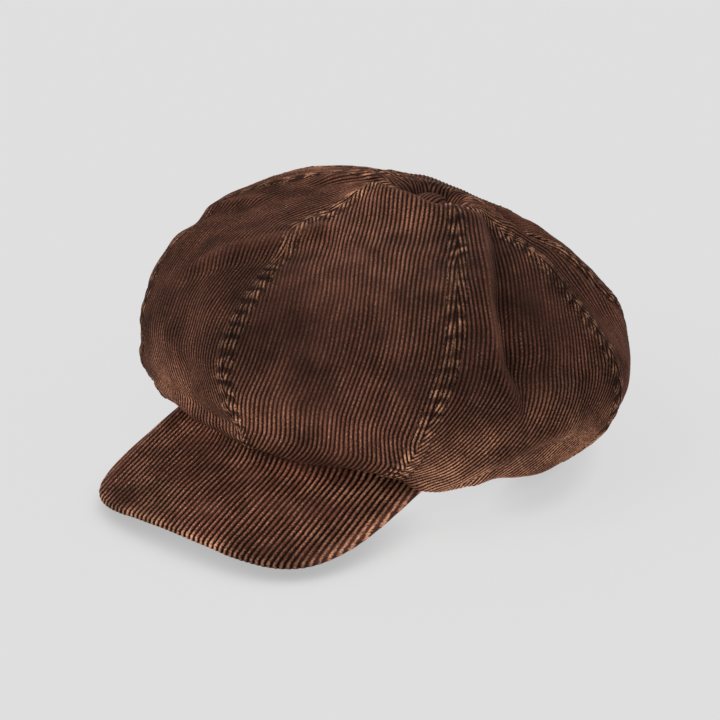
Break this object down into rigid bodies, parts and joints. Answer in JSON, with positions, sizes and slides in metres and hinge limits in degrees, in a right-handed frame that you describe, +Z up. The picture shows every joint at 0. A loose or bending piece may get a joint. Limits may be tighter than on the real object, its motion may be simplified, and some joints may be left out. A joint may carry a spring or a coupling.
{
  "type": "newsboy cap",
  "caption": "Full corduroy newsboy cap with a ballooning panelled crown, covered top button, stiff rounded visor, lining, headband and sweatband.",
  "frame": {"origin": "on the table, below the centre of the cap's bounding box, with the back half of the headband lying on the table", "axes": "+Z up, visor towards -Y, the wearer's left at +X"},
  "size_m": [0.2846, 0.29, 0.1433],
  "materials": {
    "crown_corduroy": "washed dark brown corduroy, matt, worn pale along the seams",
    "visor_corduroy": "washed brown corduroy, matt, reddish tan where the edge is worn",
    "band_corduroy": "washed dark brown corduroy, matt",
    "lining_cloth": "plain weave lining, slight sheen",
    "sweatband_tape": "ribbed cotton tape, matt",
    "label_cloth": "blank woven tape, satin",
    "board_plastic": "moulded sheet, matt",
    "button_steel": "pressed sheet"
  },
  "bodies": {
    "root": {"crown_panel_front": "crown_corduroy", "crown_panel_front_left": "crown_corduroy", "crown_panel_left": "crown_corduroy", "crown_panel_back_left": "crown_corduroy", "crown_panel_back": "crown_corduroy", "crown_panel_back_right": "crown_corduroy", "crown_panel_right": "crown_corduroy", "crown_panel_front_right": "crown_corduroy", "lining_panel_front": "lining_cloth", "lining_panel_front_left": "lining_cloth", "lining_panel_left": "lining_cloth", "lining_panel_back_left": "lining_cloth", "lining_panel_back": "lining_cloth", "lining_panel_back_right": "lining_cloth", "lining_panel_right": "lining_cloth", "lining_panel_front_right": "lining_cloth", "headband": "band_corduroy", "sweatband": "sweatband_tape", "visor_top_cover": "visor_corduroy", "visor_board": "board_plastic", "visor_under_cover": "visor_corduroy", "button_cover": "crown_corduroy", "button_shell": "button_steel", "button_shank": "button_steel", "care_label": "label_cloth"}
  },
  "joints": []
}
